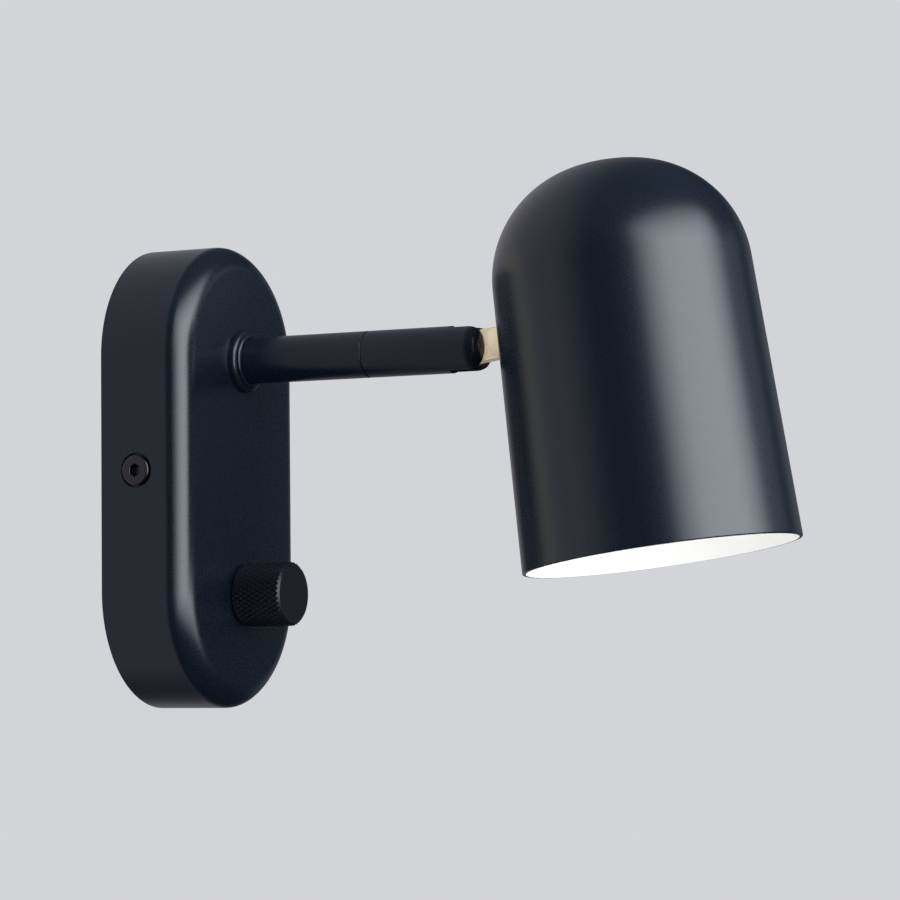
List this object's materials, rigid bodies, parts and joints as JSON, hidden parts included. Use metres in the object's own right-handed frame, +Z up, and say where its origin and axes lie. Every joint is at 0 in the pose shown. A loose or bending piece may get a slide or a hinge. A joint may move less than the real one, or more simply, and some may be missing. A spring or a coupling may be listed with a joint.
{
  "type": "wall lamp",
  "caption": "Wall lamp with a stadium-shaped casing, knurled dimmer knob, swivelling round arm and a tilting domed shade on a forked brass hinge.",
  "frame": {"origin": "on the wall plane, at the centre of the wall bracket and of the casing", "axes": "+Y into the wall, -Y into the room, +Z up, +X to the right seen from the room"},
  "size_m": [0.092, 0.2354, 0.1796],
  "materials": {
    "dark_paint": "satin powder coat, blue-black",
    "shade_paint": "satin powder coat outside, white enamel inside",
    "knurled_black": "black anodised, diamond knurled",
    "black_steel": "blackened",
    "zinc_steel": "zinc plated",
    "spring_steel": "bright",
    "brass": "polished, lacquered",
    "nickel": "nickel plated",
    "nylon": "moulded nylon",
    "grommet_rubber": "moulded",
    "terminal_plastic": "moulded polyamide",
    "dimmer_plastic": "moulded, fine grain",
    "holder_plastic": "moulded, heat resistant",
    "bulb_plastic": "moulded",
    "opal": "opal",
    "bulb_insulator": "black glass insulator and solder tip",
    "lead_sleeve": "silicone insulation"
  },
  "bodies": {
    "root": {"wall_bracket": "zinc_steel", "cable_grommet": "grommet_rubber", "terminal_block": "terminal_plastic", "terminal_tubes": "brass", "terminal_screws": "zinc_steel", "terminal_block_screw": "zinc_steel", "earth_screw": "brass", "earth_washer": "brass", "casing": "dark_paint", "casing_side_screws": "black_steel", "arm_nipple": "zinc_steel", "arm_lock_washer": "spring_steel", "arm_nut": "zinc_steel", "arm_collar": "dark_paint", "rear_arm": "dark_paint", "swivel_bush": "brass", "swivel_seam_washer": "nylon", "dimmer_bush": "nickel", "dimmer_housing": "dimmer_plastic", "dimmer_washer": "zinc_steel", "dimmer_nut": "zinc_steel", "casing_leads": "lead_sleeve"},
    "front_arm": {"front_arm": "dark_paint", "hinge_screw": "black_steel", "hinge_disc_spring": "spring_steel", "hinge_washers": "nylon", "swivel_spindle": "zinc_steel", "swivel_spring_washer": "spring_steel", "swivel_nut": "brass", "swivel_stop_pin": "spring_steel", "front_arm_leads": "lead_sleeve"},
    "head": {"hinge_tongue": "brass", "shade": "shade_paint", "shade_washer": "zinc_steel", "shade_nut": "zinc_steel", "lamp_bracket": "zinc_steel", "holder_nipple": "zinc_steel", "holder_nut": "zinc_steel", "lampholder_cap": "holder_plastic", "lampholder_body": "holder_plastic", "lampholder_contact": "brass", "lampholder_shell": "brass", "bulb_tip": "bulb_insulator", "bulb_screw_cap": "nickel", "bulb_base": "bulb_plastic", "bulb_globe": "opal", "head_leads": "lead_sleeve"},
    "knob": {"knob": "knurled_black", "knob_grub_screw": "black_steel", "dimmer_spindle": "zinc_steel"}
  },
  "joints": [
    {"name": "arm_swivel", "type": "hinge", "parent": "root", "child": "front_arm", "pos_m": [0, -0.0834, 0.04], "axis": [0, -1, 0], "range_deg": [-165, 165]},
    {"name": "shade_tilt", "type": "hinge", "parent": "front_arm", "child": "head", "pos_m": [0, -0.122, 0.04], "axis": [1, 0, 0], "range_deg": [-82, 52]},
    {"name": "knob_turn", "type": "hinge", "parent": "root", "child": "knob", "pos_m": [0, -0.044, -0.041], "axis": [0, -1, 0], "range_deg": [-135, 135]}
  ]
}
